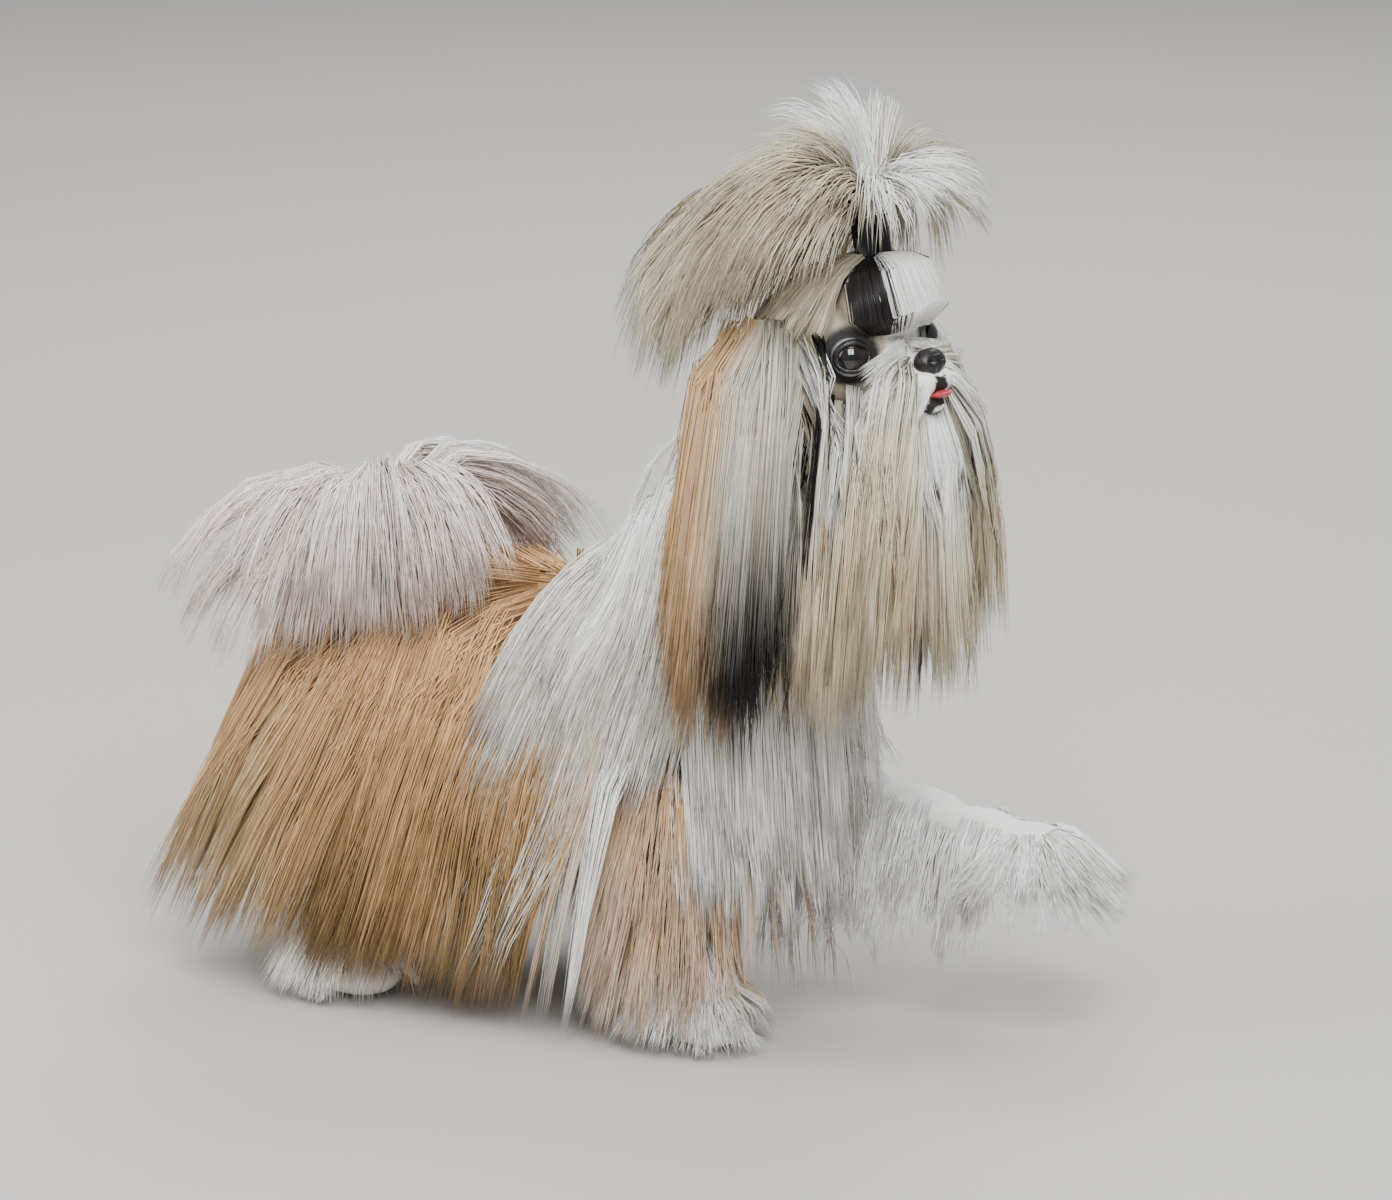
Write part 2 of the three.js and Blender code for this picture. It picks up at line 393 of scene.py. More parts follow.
def strand_mesh(name, group, unwrap):
    """One mesh of closed three-sided strands, with tint attribute and bake patches."""
    points, side, out = group["points"], group["side"], group["out"]
    count, rings = points.shape[0], points.shape[1]
    body = rings - 1
    taper = 1 - 0.7 * np.linspace(0, 1, rings) ** 1.5
    radius = group["radius"][:, None] * taper[None, :]
    corners = []
    for angle in (90, 210, 330):
        c, s = math.cos(math.radians(angle)), math.sin(math.radians(angle))
        corners.append(points + (side * c + out * s * 0.8) * radius[..., None])
    corners = np.stack(corners, axis=2)[:, :body]
    tip = points[:, -1:, :]
    vertices = np.concatenate([corners.reshape(count, body * 3, 3), tip], axis=1)
    each = body * 3 + 1
    quads = [(r * 3 + k, r * 3 + (k + 1) % 3, r * 3 + 3 + (k + 1) % 3, r * 3 + 3 + k)
             for r in range(body - 1) for k in range(3)]
    last = (body - 1) * 3
    triangles = [(last + k, last + (k + 1) % 3, each - 1) for k in range(3)] + [(2, 1, 0)]
    loops_each = len(quads) * 4 + len(triangles) * 3
    pattern = np.array([v for f in quads + triangles for v in f])
    sizes = np.array([4] * len(quads) + [3] * len(triangles))
    loops = (np.arange(count)[:, None] * each + pattern[None, :]).ravel()
    starts = np.concatenate([[0], np.cumsum(sizes)[:-1]])
    loop_starts = (np.arange(count)[:, None] * loops_each + starts[None, :]).ravel()
    mesh = bpy.data.meshes.new(name)
    mesh.vertices.add(count * each)
    mesh.vertices.foreach_set("co", to_scene(vertices.reshape(-1, 3)).astype(np.float32).ravel())
    mesh.loops.add(len(loops))
    mesh.loops.foreach_set("vertex_index", loops.astype(np.int32))
    mesh.polygons.add(len(loop_starts))
    mesh.polygons.foreach_set("loop_start", loop_starts.astype(np.int32))
    mesh.update(calc_edges=True)
    mesh.polygons.foreach_set("use_smooth", np.ones(len(loop_starts), bool))
    ring_tint = np.repeat(group["tint"][:, :body], 3, axis=1)
    tint = np.concatenate([ring_tint, group["tint"][:, -1:]], axis=1)
    rgba = np.concatenate([tint, np.ones((count, each, 1))], axis=2)
    attribute = mesh.color_attributes.new("coat_tint", "FLOAT_COLOR", "POINT")
    attribute.data.foreach_set("color", np.clip(rgba, 0, 1).astype(np.float32).ravel())
    place = unwrap(points[:, 0])
    ring_v = np.repeat(np.linspace(0, 1, rings)[:body], 3)
    ring_u = np.tile(np.array((0.0, 0.5, 1.0)), body)
    local = np.stack([np.append(ring_u, 0.5), np.append(ring_v, 1.0)], axis=1)
    uv = place[:, None, :] * (1 - BAKE_PATCH) + local[None] * BAKE_PATCH
    layer = mesh.uv_layers.new(name="OFBake")
    layer.data.foreach_set("uv", uv.reshape(-1, 2)[loops].astype(np.float32).ravel())
    return mesh


def around_axis(start, end, reach=1.0):
    """Unwrap of the skin round an axis: along it one way, the angle the other."""
    start, end = np.array(start, float), np.array(end, float)
    axis = unit(end - start)
    length = np.linalg.norm(end - start)
    first = unit(np.cross(axis, np.array((0.1, 1.0, 0.2))))
    second = np.cross(axis, first)

    def unwrap(points):
        local = points - start
        along = (local @ axis) / length
        angle = np.arctan2(local @ second, local @ first) / (2 * np.pi) + 0.5
        return np.stack([np.clip(0.05 + 0.9 * along * reach, 0, 1), np.clip(angle, 0, 1)], axis=1)
    return unwrap


def add_object(name, mesh, *materials):
    piece = bpy.data.objects.new(name, mesh)
    bpy.context.scene.collection.objects.link(piece)
    for material in materials:
        mesh.materials.append(material)
    return piece


def coat_piece(name, groups, unwrap):
    """A coat piece that rides on the body and takes the coat's finish."""
    mesh = strand_mesh(name, join_strands(groups), unwrap)
    piece = add_object(name, mesh, silky_hair())
    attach(piece, BODY)
    return piece


def node(tree, kind, links=None, **settings):
    """Adds a node with its settings and links."""
    made = tree.nodes.new(kind)
    for key, value in settings.items():
        if key.startswith("in_"):
            made.inputs[key[3:].replace("_", " ")].default_value = value
        else:
            setattr(made, key, value)
    for socket, source in (links or {}).items():
        tree.links.new(source, made.inputs[socket])
    return made


def texture(tree, kind, **settings):
    """A noise or cell texture in object coordinates."""
    place = node(tree, "ShaderNodeTexCoord")
    return node(tree, "ShaderNodeTex" + kind, {"Vector": place.outputs["Object"]}, **settings)


def spread_over(tree, source, low, high):
    """A texture's value spread over the range a finish varies in."""
    return node(tree, "ShaderNodeMapRange", {"Value": source}, in_To_Min=low, in_To_Max=high)


def new_material(name):
    material = bpy.data.materials.get(name)
    if material:
        return material, None, None
    material = bpy.data.materials.new(name)
    material.use_nodes = True
    tree = material.node_tree
    return material, tree, tree.nodes["Principled BSDF"]


def silky_hair():
    """Long silky dog hair, combed: a soft sheen along the strand and small changes of tone."""
    material, tree, shader = new_material("silky_dog_hair")
    if tree is None:
        return material
    tint = node(tree, "ShaderNodeVertexColor", layer_name="coat_tint")
    # Tone drifts over about 12 mm, as locks catch the light one by one
    drift = texture(tree, "Noise", in_Scale=85.0, in_Detail=3.0)
    tone = spread_over(tree, drift.outputs["Fac"], 0.82, 1.14)
    shaded = node(tree, "ShaderNodeVectorMath", {0: tint.outputs["Color"], 1: tone.outputs["Result"]},
                  operation="MULTIPLY")
    tree.links.new(shaded.outputs["Vector"], shader.inputs["Base Color"])
    shader.inputs["Roughness"].default_value = 0.42
    shader.inputs["IOR"].default_value = 1.5
    shader.inputs["Specular IOR Level"].default_value = 0.38
    return material


def coat_skin():
    """Skin under the coat, tinted as the hair that grows from it, with a fine grain."""
    material, tree, shader = new_material("skin_under_coat")
    if tree is None:
        return material
    tint = node(tree, "ShaderNodeVertexColor", layer_name="coat_tint")
    # Short hair 1 mm apart breaks up the skin
    grain = texture(tree, "Noise", in_Scale=900.0, in_Detail=2.0)
    bump = node(
        tree, "ShaderNodeBump", {"Height": grain.outputs["Fac"]}, in_Strength=0.5, in_Distance=0.0006)
    tree.links.new(tint.outputs["Color"], shader.inputs["Base Color"])
    tree.links.new(bump.outputs["Normal"], shader.inputs["Normal"])
    shader.inputs["Roughness"].default_value = 0.7
    return material


def bare_skin():
    """Black bare skin of nose, lids, lips and pads: pebbled and slightly moist."""
    material, tree, shader = new_material("black_nose_leather")
    if tree is None:
        return material
    group = bpy.context.scene.shih_tzu_bare
    # Pebbles of the leather, about 0.7 mm across
    pebbles = texture(tree, "Voronoi", in_Scale=1400.0)
    bump = node(
        tree, "ShaderNodeBump", {"Height": pebbles.outputs["Distance"]}, in_Strength=0.45, in_Distance=0.0003)
    shade = spread_over(tree, pebbles.outputs["Distance"], 0.28, 0.42)
    tree.links.new(bump.outputs["Normal"], shader.inputs["Normal"])
    tree.links.new(shade.outputs["Result"], shader.inputs["Roughness"])
    shader.inputs["Base Color"].default_value = (*group.skin_black, 1)
    return material


def moist_tongue():
    """Tongue: moist pink flesh with fine bumps."""
    material, tree, shader = new_material("moist_tongue")
    if tree is None:
        return material
    group = bpy.context.scene.shih_tzu_bare
    # Taste buds about 0.8 mm apart
    buds = texture(tree, "Noise", in_Scale=1200.0)
    bump = node(
        tree, "ShaderNodeBump", {"Height": buds.outputs["Fac"]}, in_Strength=0.3, in_Distance=0.0003)
    tree.links.new(bump.outputs["Normal"], shader.inputs["Normal"])
    shader.inputs["Base Color"].default_value = (*group.tongue, 1)
    shader.inputs["Roughness"].default_value = 0.24
    shader.inputs["Subsurface Weight"].default_value = 0.15
    shader.inputs["Subsurface Scale"].default_value = 0.003
    return material


def wet_eye():
    """Eyeball: dark brown iris and pupil under a wet clear surface, grey-white at the corner."""
    material, tree, shader = new_material("wet_brown_eye")
    if tree is None:
        return material
    group = bpy.context.scene.shih_tzu_bare
    ring = node(tree, "ShaderNodeAttribute", attribute_name="gaze_angle")
    # Iris reaches to 52 degrees from the gaze, the pupil to 20
    iris = node(
        tree, "ShaderNodeMapRange", {"Value": ring.outputs["Fac"]},
        in_From_Min=0.90, in_From_Max=0.98)
    white = node(tree, "ShaderNodeMix", {"Factor": iris.outputs["Result"]}, data_type="RGBA")
    white.inputs[6].default_value = (*group.iris, 1)
    white.inputs[7].default_value = (*group.sclera, 1)
    pupil = node(
        tree, "ShaderNodeMapRange", {"Value": ring.outputs["Fac"]},
        in_From_Min=0.30, in_From_Max=0.38)
    eye = node(tree, "ShaderNodeMix", {"Factor": pupil.outputs["Result"]}, data_type="RGBA")
    eye.inputs[6].default_value = (0.004, 0.004, 0.005, 1)
    tree.links.new(white.outputs[2], eye.inputs[7])
    tree.links.new(eye.outputs[2], shader.inputs["Base Color"])
    shader.inputs["Roughness"].default_value = 0.06
    shader.inputs["Coat Weight"].default_value = 0.6
    shader.inputs["Coat Roughness"].default_value = 0.03
    return material


def wrap_finish():
    """Topknot wrap: glossy black moulded plastic with faint wind marks."""
    material, tree, shader = new_material("glossy_black_plastic")
    if tree is None:
        return material
    group = bpy.context.scene.shih_tzu_bare
    # Faint handling marks about 2 mm apart
    marks = texture(tree, "Noise", in_Scale=500.0, in_Detail=4.0)
    rough = spread_over(tree, marks.outputs["Fac"], 0.1, 0.26)
    tree.links.new(rough.outputs["Result"], shader.inputs["Roughness"])
    shader.inputs["Base Color"].default_value = (*group.wrap, 1)
    return material


def rim_finish():
    """Rims of the wrap: pale brass, brushed by handling."""
    material, tree, shader = new_material("pale_brass")
    if tree is None:
        return material
    group = bpy.context.scene.shih_tzu_bare
    # Fine scratches, 0.5 mm apart
    marks = texture(tree, "Noise", in_Scale=2000.0)
    rough = spread_over(tree, marks.outputs["Fac"], 0.22, 0.4)
    tree.links.new(rough.outputs["Result"], shader.inputs["Roughness"])
    shader.inputs["Base Color"].default_value = (*group.rim, 1)
    shader.inputs["Metallic"].default_value = 1.0
    return material


def body_tint(points):
    """Markings of the body by place, with a painted highlight along the ridge of the back and painted shade
    in the olive tips: (root colours, tip colours, turn) for each point.
    """
    c = colours()
    count = len(points)
    x, y, z = points.T
    root = np.tile(c["gold"], (count, 1))
    # Painted highlight: roots turn a brighter gold towards the top of the back
    ridge = ease(205, 248, z)[:, None]
    root = mix(root, c["bright_gold"], ridge * 0.8)
    # Painted shade: the hanging tips of the saddle lean to a darker olive brown
    tip = mix(c["olive"], c["gold"], DRAW.random(count)[:, None] * 0.9)
    rear = ease(-150, -235, x)[:, None]
    tip = mix(tip, mix(c["gold"], c["cream"], 0.35), rear * 0.75)
    patch = np.sin(x * 0.045 + z * 0.02)[:, None] * 0.5 + 0.5
    root = mix(root, mix(c["gold"], c["olive"], 0.5), patch * 0.35 * (1 - ridge))
    front = ease(-48, -34, x + DRAW.normal(0, 4, count))[:, None]
    root = mix(root, c["white"], front)
    tip = mix(tip, c["white"], front)
    low = ease(70, 30, z)[:, None]
    root = mix(root, c["white"], low * 0.9)
    tip = mix(tip, c["white"], low * 0.9)
    return root, tip, 0.45 + 0.3 * DRAW.random(count)


def scaled(count):
    return int(count * bpy.context.scene.shih_tzu_sizes.fullness)


def body_width():
    return bpy.context.scene.shih_tzu_sizes.strand_width / MM


def face_width():
    return bpy.context.scene.shih_tzu_sizes.face_width / MM


def side_coat(side, count):
    """Coat of one flank, from the parting on the spine to the floor, swept back by the trot."""
    share = DRAW.random(count)
    x = mix(-30.0, -232.0, share)
    angle = np.radians(mix(1.0, 112.0, DRAW.random(count) ** 1.15))
    start = vectors(x, 0, float(AXIS_HEIGHT))
    away = vectors(0, side * np.sin(angle), np.cos(angle))
    roots = surface(start, away)
    sweep = mix(0.16, 0.47, share) + DRAW.normal(0, 0.03, count)
    flare = 0.01 + 0.05 * DRAW.random(count)
    lie = unit(vectors(-sweep, side * flare, -1))
    lift = mix(15.0, 2.0, np.degrees(angle) / 112) + DRAW.random(count) * 3
    stop = 2 + DRAW.random(count) ** 2 * 16 + share * 22
    guides = Guides(roots, lambda p, t: lie, lift, 345.0, stop)
    root, tip, turn = body_tint(roots)
    return strands(guides, 22, 11.0, 3.0, body_width(), chosen_tint(root, tip, turn))


def rump_coat(count):
    """Breeches behind the thighs."""
    fan = np.radians(DRAW.random(count) * 150 - 75)
    height = DRAW.random(count) * 1.5 - 0.75
    start = np.tile(np.array(RUMP[0], float), (count, 1))
    roots = surface(start, vectors(-np.cos(fan), np.sin(fan), height))
    spread = np.sin(fan) * 0.22

    def lie(points, share):
        return unit(vectors(-0.6 + 0.3 * share, spread, -0.85))
    length = mix(95.0, 158.0, ease(-0.75, 0.75, height)) * (0.88 + 0.14 * DRAW.random(count))
    lift = mix(2.0, 13.0, ease(-0.75, 0.75, height))
    guides = Guides(roots, lie, lift, length, 8.0)
    root, tip, turn = body_tint(roots)
    c = colours()
    tip = mix(tip, mix(c["gold"], c["cream"], 0.25), 0.5)
    return strands(guides, 22, 10.0, 3.0, body_width(), chosen_tint(root, tip, turn), stray=0.7)


def cape_coat(count):
    """White cape from the withers over the shoulders, and the ruff behind the ears."""
    share = DRAW.random(count)
    side = np.where(DRAW.random(count) < 0.5, -1.0, 1.0)
    angle = np.radians(DRAW.random(count) ** 0.9 * 122)
    start = vectors(mix(-36.0, 30.0, share), -5 * share, mix(212.0, 300.0, share))
    roots = surface(start, vectors(-0.25, side * np.sin(angle), np.cos(angle)))
    lie = unit(vectors(mix(-0.44, -0.16, share), side * 0.12, -1))
    lift = mix(24.0, 8.0, np.degrees(angle) / 122) + DRAW.random(count) * 3
    length = mix(205.0, 150.0, share) * (0.85 + 0.2 * DRAW.random(count))
    guides = Guides(roots, lambda p, t: lie, lift, length, 20.0)
    c = colours()
    gold = (ease(-30, -42, roots[:, 0]) * 0.5)[:, None]
    root = mix(np.tile(c["white"], (count, 1)), c["gold"], gold)
    tip = np.tile(mix(c["white"], c["cream"], 0.25), (count, 1))
    return strands(guides, 20, 10.0, 3.0, body_width(), chosen_tint(root, tip, np.full(count, 0.5)))


def bib_coat(count):
    """White hair down the chest, between and over the forelegs."""
    fan = np.radians(DRAW.random(count) * 204 - 102)
    height = DRAW.random(count)
    start = vectors(8.0, -2.0, mix(140.0, 285.0, height))
    roots = surface(start, vectors(np.cos(fan), np.sin(fan), 0.08))
    lie = unit(vectors(0.1, np.sin(fan) * 0.12, -1))
    length = mix(85.0, 165.0, height) * (0.85 + 0.25 * DRAW.random(count))
    guides = Guides(roots, lambda p, t: lie, mix(4.0, 14.0, height), length, 30.0)
    c = colours()
    return strands(guides, 20, 6.5, 2.5, body_width(),
                   plain_tint(c["white"], mix(c["white"], c["cream"], 0.12)))


def beard_coat(count):
    """Moustache and beard: from the muzzle and cheeks out, over and straight down."""
    side = np.where(DRAW.random(count) < 0.5, -1.0, 1.0)
    back = DRAW.random(count)
    low = DRAW.random(count)
    start = in_head(vectors(mix(-17.0, -60.0, back), 0, mix(4.0, -18.0, low)))
    ahead = 1.15 * ease(0.4, 0.0, back) * DRAW.random(count)
    roots = surface(start, headwards(vectors(ahead - 0.1, side, 0.45 - 1.0 * low)))
    out = 0.66 * (1 - 0.55 * low)

    def lie(points, share):
        return unit(vectors(0.07 - 0.1 * share, side * (out - 0.8 * share * np.abs(out)), -1))
    lift = mix(14.0, 16.0, back) * (1 - 0.6 * low) + DRAW.random(count) * 3
    length = mix(168.0, 190.0, np.sin(back * np.pi)) * (0.82 + 0.22 * DRAW.random(count))
    guides = Guides(roots, lie, lift, length, 20.0)
    c = colours()
    local = (roots - np.array(NOSE)) @ HEAD_TURN.T
    root = mix(np.tile(c["white"], (count, 1)), c["cream"], (DRAW.random(count) * 0.7)[:, None])
    tip = mix(np.tile(c["cream"], (count, 1)), c["gold"], (DRAW.random(count) ** 2 * 0.45)[:, None])
    streak = ((np.abs(local[:, 0] + 44) < 4.5) & (DRAW.random(count) < 0.6))[:, None]
    root = np.where(streak, c["black"], root)
    tip = np.where(streak, mix(c["grey"], c["cream"], 0.3), tip)
    return strands(guides, 22, 4.6, 1.8, face_width() * 1.1, chosen_tint(root, tip, np.full(count, 0.4)))


def chin_coat(count):
    """Beard under the lower lip."""
    across = DRAW.random(count) * 2 - 1
    start = in_head(vectors(-16.0, across * 12, -14.0))
    roots = surface(start, headwards(vectors(0.45, across * 0.4, -0.9)))
    lie = unit(vectors(0.05, across * 0.06, -1))
    guides = Guides(roots, lambda p, t: lie, 6.0, 150.0 * (0.8 + 0.3 * DRAW.random(count)), 20.0)
    c = colours()
    return strands(guides, 22, 4.5, 3.0, face_width() * 1.1, plain_tint(c["white"], c["cream"]))


def cheek_coat(count):
    """Hair of the cheek and side of the head, between moustache and ear."""
    side = np.where(DRAW.random(count) < 0.5, -1.0, 1.0)
    back = DRAW.random(count)
    start = in_head(vectors(mix(-48.0, -80.0, back), 0, mix(-14.0, 24.0, DRAW.random(count))))
    roots = surface(start, headwards(vectors(0, side, 0.15)))

    def lie(points, share):
        return unit(vectors(-0.05, side * (0.22 - 0.26 * share), -1))
    lift = 11 + DRAW.random(count) * 5
    length = 200.0 * (0.8 + 0.25 * DRAW.random(count))
    guides = Guides(roots, lie, lift, length, 20.0)
    c = colours()
    pick = DRAW.random(count)[:, None]
    root = np.where(pick < 0.55, c["white"], np.where(pick < 0.78, c["cream"], np.where(
        pick < 0.9, c["grey"], c["black"])))
    tip = np.where(pick < 0.4, c["cream"], np.where(
        pick < 0.75, mix(c["grey"], c["gold"], 0.4), c["black"]))
    return strands(guides, 20, 5.0, 1.8, face_width() * 1.1, chosen_tint(root, tip, np.full(count, 0.65)))


def ear_coat(side, count):
    """Feathering of an ear, gold with grey streaks and a black tip."""
    back = DRAW.random(count)
    high = DRAW.random(count)
    start = in_head(vectors(mix(-54.0, -96.0, back), side * 53.0, mix(38.0, -26.0, high)))
    roots = surface(start, headwards(vectors(0, side, 0.1)))

    def lie(points, share):
        return unit(vectors(-0.03 - 0.12 * back, side * (0.1 - 0.12 * share), -1))
    lift = mix(7.0, 5.0, high) + DRAW.random(count) * 3
    length = (mix(222.0, 190.0, high)) * (0.84 + 0.2 * DRAW.random(count))
    guides = Guides(roots, lie, lift, length, 20.0)
    c = colours()
    ahead = (ease(0.75, 0.35, back + DRAW.normal(0, 0.08, count)))[:, None]
    root = mix(np.tile(c["gold"], (count, 1)), mix(c["grey"], c["white"], 0.45), ahead)
    root = mix(root, c["cream"], (DRAW.random(count) ** 2 * 0.5)[:, None])
    dark = ease(0.75, 0.3, back)[:, None]
    tip = mix(np.tile(c["gold"], (count, 1)), c["black"], dark)
    return strands(guides, 20, 5.5, 2.0, body_width() * 0.9,
                   chosen_tint(root, tip, mix(0.85, 0.62, dark[:, 0])))


def combed_to_wrap(starts, lift, count_each, tint, core):
    """Hair drawn tight over the head from given roots to the foot of the wrap."""
    gather = in_head([[WRAP_AT.x, WRAP_AT.y, WRAP_AT.z + 2]])[0]
    count = len(starts)
    fine = GUIDE_STEPS
    spots = []
    halfway = (starts + gather) / 2
    crest = halfway + unit(halfway - in_head([core])[0]) * 24
    for i in range(fine + 1):
        share = i / fine
        point = starts * (1 - share) ** 2 + crest * 2 * share * (1 - share) + gather * share ** 2
        wanted = lift * math.sin(math.pi * min(1, share * 0.92 + 0.06)) + 0.6
        for _ in range(3):
            short = np.maximum(wanted - skin_distance(point), 0)
            point = point + skin_normal(point) * short[:, None]
        spots.append(point)
    guides = Guides.__new__(Guides)
    guides.points = np.stack(spots, axis=1)
    guides.normals = np.stack([skin_normal(p) for p in spots], axis=1)
    guides.ended = np.full(count, float(fine))
    guides.count = count
    return strands(guides, count_each, 3.6, 1.2, face_width(), tint, segments=6,
                   closing=0.6, stray=0.03, wave=0.1, shorter=0.01)


def forehead_coat(count):
    """Bubble over the brow: white blaze between black stripes, grey-brown at the sides."""
    across = DRAW.random(count) * 2 - 1
    x = -3 - np.abs(across) ** 1.5 * 30
    starts = in_head(vectors(x, across * 32, 20.0 - 4 * (1 - np.abs(across))))
    starts = starts + skin_normal(starts) * (0.5 - skin_distance(starts))[:, None]
    c = colours()
    edge = np.abs(across * 32 + DRAW.normal(0, 1.5, count))[:, None]
    tone = np.where(edge < 15, c["white"], np.where(edge < 27, c["black"], mix(c["grey"], c["cream"], 0.2)))
    return combed_to_wrap(starts, 2.5, 16, chosen_tint(tone, tone, np.full(count, 0.5)), (-28, 0, 26))


def temple_coat(count):
    """Hair of the temples and crown, combed up to the wrap."""
    side = np.where(DRAW.random(count) < 0.5, -1.0, 1.0)
    back = DRAW.random(count)
    middle = in_head(vectors(mix(-44.0, -98.0, back), 0, 12.0))
    rise = mix(0.12, 0.75, DRAW.random(count))
    starts = surface(middle, headwards(vectors(-0.35 * back, side, rise)))
    c = colours()
    pick = DRAW.random(count)[:, None]
    tone = np.where(pick < 0.5, mix(c["grey"], c["cream"], 0.45), np.where(
        pick < 0.8, c["cream"], c["grey"]))
    return combed_to_wrap(starts, 3.5, 16, chosen_tint(tone, tone, np.full(count, 0.5)), (-60, 0, 8))


def bridge_coat(count):
    """Short hair from the top of the nose: up between the eyes and out over the muzzle."""
    across = DRAW.random(count) * 2 - 1
    along = DRAW.random(count)
    start = in_head(vectors(-24.0, across * 10, mix(-8.0, 12.0, along)))
    roots = surface(start, headwards(vectors(1, across * 0.9, mix(-0.2, 0.5, along))))
    lie = headwards(unit(vectors(-0.1, np.sign(across) * 1.1, mix(-0.9, 0.1, along) - 0.3)))
    guides = Guides(roots, lambda p, t: lie, 1.5, mix(24.0, 46.0, DRAW.random(count)), 20.0)
    c = colours()
    return strands(guides, 14, 2.2, 1.0, face_width() * 0.8, plain_tint(c["white"], c["white"]),
                   stray=0.15, wave=0.2)


def topknot_coat(count):
    """Fountain above the wrap that bends over and blows back."""
    base = in_head([[WRAP_AT.x, WRAP_AT.y, WRAP_AT.z + WRAP_LENGTH + 1]])[0]
    around = DRAW.random(count) * 2 * np.pi
    spread = 0.15 + 1.35 * DRAW.random(count) ** 0.8
    start = headwards(vectors(np.cos(around) * spread - 0.3, np.sin(around) * spread, 1))
    backward = 0.5 - 0.5 * np.cos(around)
    length = (88 + 132 * backward) * (1.0 - 0.12 * spread) * (0.84 + 0.2 * DRAW.random(count))
    roots = base + unit(start) * 2 + headwards(vectors(0, np.sin(around) * 9, 0))
    fine = GUIDE_STEPS
    heading = unit(start)
    point = roots.copy()
    spots, normals = [point.copy()], []
    middle = in_head([[-78, 0, 72]])[0]
    step = length / fine
    for i in range(fine):
        bend = (0.0265 - 0.0125 * backward + 0.004 * spread) * step
        heading[:, 2] -= bend
        share = i / fine
        heading[:, 0] -= (0.002 + 0.0125 * backward * (1 if share < 0.6 else -0.3)) * step
        heading = unit(heading)
        point = point + heading * step[:, None]
        spots.append(point.copy())
    guides = Guides.__new__(Guides)
    guides.points = np.stack(spots, axis=1)
    guides.normals = unit(guides.points - middle)
    guides.ended = np.full(count, float(fine))
    guides.count = count
    c = colours()
    sector = np.abs(((around + np.pi) % (2 * np.pi)) - np.pi)
    pick = DRAW.random(count)
    root = np.tile(mix(c["grey"], c["cream"], 0.4), (count, 1))
    root = np.where((pick < 0.3)[:, None], c["grey"], root)
    root = np.where(((sector > 0.55) & (sector < 1.15) & (pick < 0.8))[:, None], c["black"], root)
    root = np.where((sector < 0.5)[:, None], c["white"], root)
    tip = mix(np.tile(c["cream"], (count, 1)), c["grey"], (pick ** 2)[:, None] * 0.8)
    tip = np.where((sector < 0.5)[:, None], c["white"], tip)
    tip = np.where(((backward > 0.85) & (pick > 0.72))[:, None], mix(c["olive"], c["black"], 0.5), tip)
    turn = np.where(sector < 1.15, 0.42, 0.5)
    return strands(guides, 20, 7.0, 4.0, body_width() * 0.9, chosen_tint(root, tip, turn),
                   closing=-0.5, stray=0.5, wave=1.4)


def tail_coat(count):
    """Plume of the tail, parted on its ridge, over both sides and forward along the back."""
    side = np.where(DRAW.random(count) < 0.5, -1.0, 1.0)
    along = DRAW.random(count)
    start = vectors(mix(-240.0, -196.0, along), 0, mix(246.0, 274.0, np.sin(along * np.pi / 2)))
    tilt = DRAW.random(count)
    roots = surface(start, vectors(-0.2 + 0.4 * along, side * (0.25 + tilt), 1 - 0.5 * tilt))
    ahead = mix(-0.75, 0.95, along)

    def lie(points, share):
        rise = 0.4 - 1.5 * share - tilt * 0.3
        return unit(vectors(ahead * (1 - 0.5 * share), side * (0.5 - 0.25 * share), rise))
    length = (136 - 26 * tilt) * (0.82 + 0.22 * DRAW.random(count))
    guides = Guides(roots, lie, 26 - 9 * tilt + DRAW.random(count) * 3, length, 60.0)
    c = colours()
    pick = DRAW.random(count)
    root = np.tile(c["blush"], (count, 1))
    root = np.where((pick < 0.3)[:, None], c["white"], root)
    tip = mix(np.tile(c["blush"], (count, 1)), c["grey"], (pick > 0.93)[:, None] * 0.8)
    return strands(guides, 24, 10.0, 4.0, body_width() * 0.95, chosen_tint(root, tip, np.full(count, 0.7)),
                   stray=0.5)


def leg_coat(name, count):
    """Feather round a standing leg and fluff over its foot."""
    rings, paw = LEGS[name]
    high = DRAW.random(count) ** (0.8 if name == "front_right" else 1.3)
    z = mix(12.0, 172.0 if name == "front_right" else 78.0, high)
    ring = np.array(rings, float)[::-1]
    x = np.interp(z, ring[:, 2], ring[:, 0])
    y = np.interp(z, ring[:, 2], ring[:, 1])
    around = DRAW.random(count) * 2 * np.pi
    away = vectors(np.cos(around), np.sin(around), 0)
    roots = surface(vectors(x, y, z), away)
    spread = mix(0.72, 0.16, ease(15, 90, z))
    lie = unit(vectors(away[:, 0] * spread - 0.12, away[:, 1] * spread, -1))
    lift = mix(3.0, 12.0, ease(15, 110, z)) + DRAW.random(count) * 2
    length = mix(46.0, 118.0, ease(15, 120, z)) * (0.85 + 0.3 * DRAW.random(count))
    guides = Guides(roots, lambda p, t: lie, lift, length, 0.9 + DRAW.random(count) * 4)
    c = colours()
    root = np.tile(c["white"], (count, 1))
    tip = np.tile(c["white"], (count, 1))
    if name == "front_right":
        ahead = np.cos(around + 0.7)
        gold = (ease(58, 88, z) * ease(-0.7, 0.1, ahead) * 0.95)[:, None]
        root = mix(root, c["gold"], gold)
        tip = mix(tip, c["gold"], gold * 0.7)
    else:
        gold = ease(45, 75, z)[:, None] * 0.8
        root = mix(root, c["gold"], gold)
        tip = mix(tip, c["cream"], gold)
    return strands(guides, 18, 4.5, 2.0, body_width() * 0.85, chosen_tint(root, tip, np.full(count, 0.5)),
                   stray=0.8, wave=0.9)


